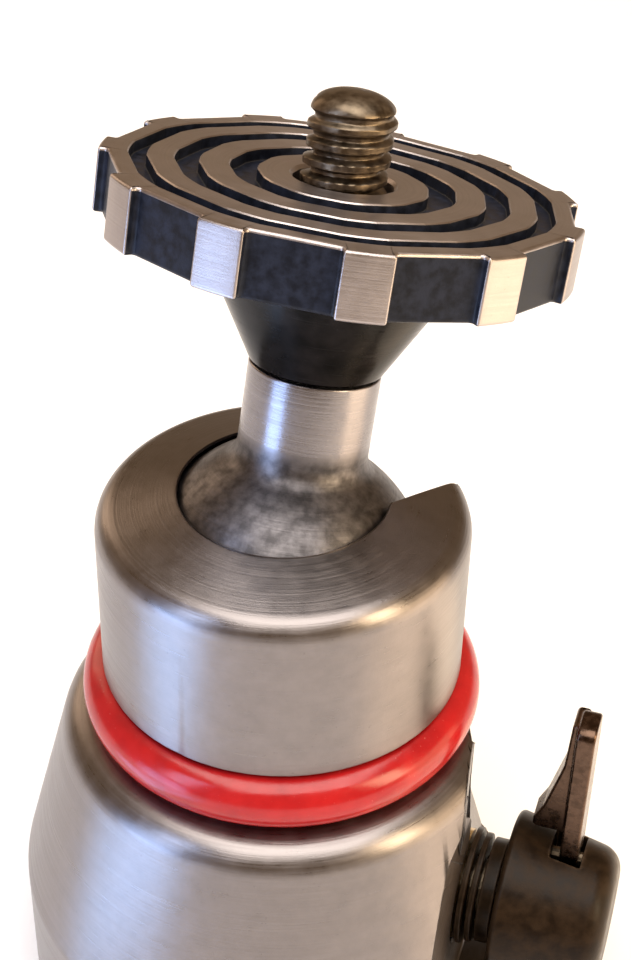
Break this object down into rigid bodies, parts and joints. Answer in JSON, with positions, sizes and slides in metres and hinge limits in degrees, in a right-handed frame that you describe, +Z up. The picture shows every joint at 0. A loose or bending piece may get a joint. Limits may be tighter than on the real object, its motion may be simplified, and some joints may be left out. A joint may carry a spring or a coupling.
{
  "type": "tripod ball head",
  "caption": "Small tripod ball head: a clamped ball in a tapered body carries a round notched camera platform and screw, locked by a side knob.",
  "frame": {"origin": "centre of the tripod socket's mouth on the foot's underside, on the body's axis", "axes": "+Z up along the body's axis from foot to ball, +X along the lock knob's axis away from the body"},
  "size_m": [0.0502, 0.0459, 0.0805],
  "materials": {
    "satin_aluminium": "fine bead-blasted and clear anodised satin",
    "stem_aluminium": "fine turned satin",
    "red_rubber": "smooth moulded, slight sheen",
    "gloss_black": "polished black",
    "knob_black": "dark brown-black satin, worn at the edges",
    "blade_steel": "dark bronze-toned, rubbed bright on the edge",
    "warm_steel": "bare turned steel, slightly warm",
    "brass": "machined",
    "ivory_plastic": "moulded low-friction acetal"
  },
  "bodies": {
    "body": {"housing": "satin_aluminium", "bumper_ring": "red_rubber", "upper_seat": "ivory_plastic", "lock_bush": "brass", "base_plate": "satin_aluminium", "tripod_insert": "warm_steel", "base_screw_1": "warm_steel", "base_screw_2": "warm_steel", "base_screw_3": "warm_steel", "guide_pin": "warm_steel", "return_spring": "warm_steel"},
    "ball": {"ball_stud": "stem_aluminium"},
    "head": {"neck_cone": "gloss_black", "platform_disc": "satin_aluminium", "camera_screw": "warm_steel"},
    "lock_carriage": {"thrust_washer_inner": "knob_black", "thrust_washer_outer": "knob_black", "spacer_sleeve": "knob_black"},
    "knob": {"knob_hub": "knob_black", "lever_blade": "blade_steel", "lever_pin": "warm_steel", "lock_screw": "warm_steel"},
    "wedge": {"wedge": "warm_steel"},
    "cup": {"lower_cup": "ivory_plastic", "disc_spring_upper": "warm_steel", "disc_spring_lower": "warm_steel", "lift_block": "satin_aluminium"}
  },
  "joints": [
    {"name": "ball_tilt", "type": "hinge", "parent": "body", "child": "ball", "pos_m": [0, 0, 0.0435], "axis": [-0.863, 0.4983, -0.0835], "range_deg": [-26, 75.98]},
    {"name": "platform_turn", "type": "hinge", "parent": "ball", "child": "head", "pos_m": [0, 0, 0.0435], "axis": [0.0509, 0.2503, 0.9668], "continuous": true},
    {"name": "knob_travel", "type": "slide", "parent": "body", "child": "lock_carriage", "axis": [1, 0, 0], "range_m": [0, 0.00025]},
    {"name": "knob_turn", "type": "hinge", "parent": "lock_carriage", "child": "knob", "pos_m": [0, 0, 0.0143], "axis": [1, 0, 0], "range_deg": [0, 110]},
    {"name": "wedge_slide", "type": "slide", "parent": "body", "child": "wedge", "axis": [1, 0, 0], "range_m": [0, 0.00025]},
    {"name": "cup_lift", "type": "slide", "parent": "body", "child": "cup", "axis": [0, 0, -1], "range_m": [0, 0.000044]}
  ],
  "couplings": [
    {"joint": "knob_travel", "follows": "knob_turn", "m_per_rad": 0.00012732},
    {"joint": "wedge_slide", "follows": "knob_turn", "m_per_rad": 0.00012732},
    {"joint": "cup_lift", "follows": "knob_turn", "m_per_rad": 0.000022451}
  ]
}
